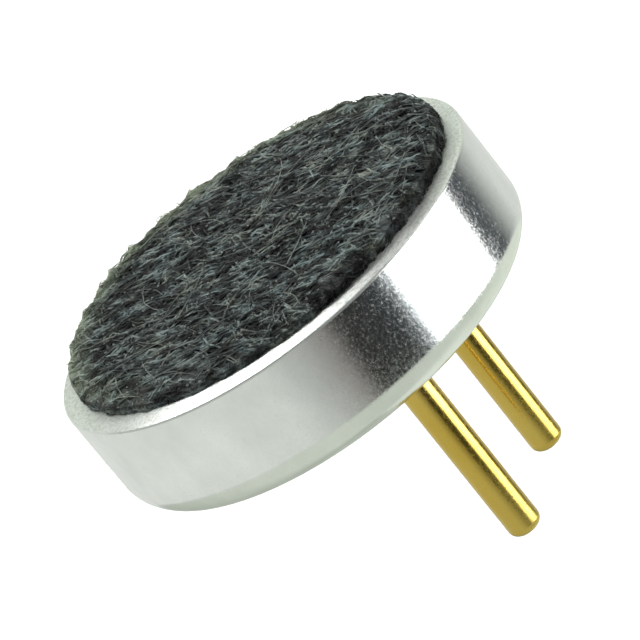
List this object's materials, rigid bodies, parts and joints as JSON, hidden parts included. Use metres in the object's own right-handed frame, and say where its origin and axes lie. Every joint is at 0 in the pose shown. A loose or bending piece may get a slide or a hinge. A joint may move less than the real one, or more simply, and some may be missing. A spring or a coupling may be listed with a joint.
{
  "type": "electret microphone capsule",
  "caption": "Shallow aluminium can with a rolled rear edge, a felt dust cover over its sound holes and gold plated solder pins; turns sound into an electrical signal",
  "frame": {"origin": "centre of the seating plane, where the rolled rear edge of the can meets the host board", "axes": "+Z out of the felt front along the can's axis, +X along the pin pair, pins toward -Z and on the -Y side"},
  "size_m": [0.006, 0.006, 0.0047],
  "materials": {
    "can": "satin",
    "felt": "matte",
    "adhesive": "matte",
    "brass": "satin",
    "film": "gloss",
    "spacer": "gloss",
    "holder": "matte",
    "nickel": "satin",
    "board": "matte",
    "copper": "satin",
    "epoxy": "matte",
    "tin": "satin",
    "chip_ceramic": "matte",
    "gold": "polished"
  },
  "bodies": {
    "root": {"can": "can", "dust_cover": "felt", "cover_adhesive": "adhesive", "diaphragm_ring": "brass", "diaphragm": "film", "spacer": "spacer", "electret_film": "film", "back_plate": "brass", "holder": "holder", "gate_ring": "nickel", "circuit_board": "board", "gate_land": "copper", "drain_land": "copper", "source_land": "copper", "rear_ground_land": "copper", "rear_output_land": "copper", "jfet_body": "epoxy", "jfet_gate_lead": "tin", "jfet_source_lead": "tin", "jfet_drain_lead": "tin", "capacitor_1_body": "chip_ceramic", "capacitor_1_ends": "tin", "capacitor_2_body": "chip_ceramic", "capacitor_2_ends": "tin", "ground_pin": "gold", "output_pin": "gold", "ground_solder": "tin", "output_solder": "tin"}
  },
  "joints": []
}
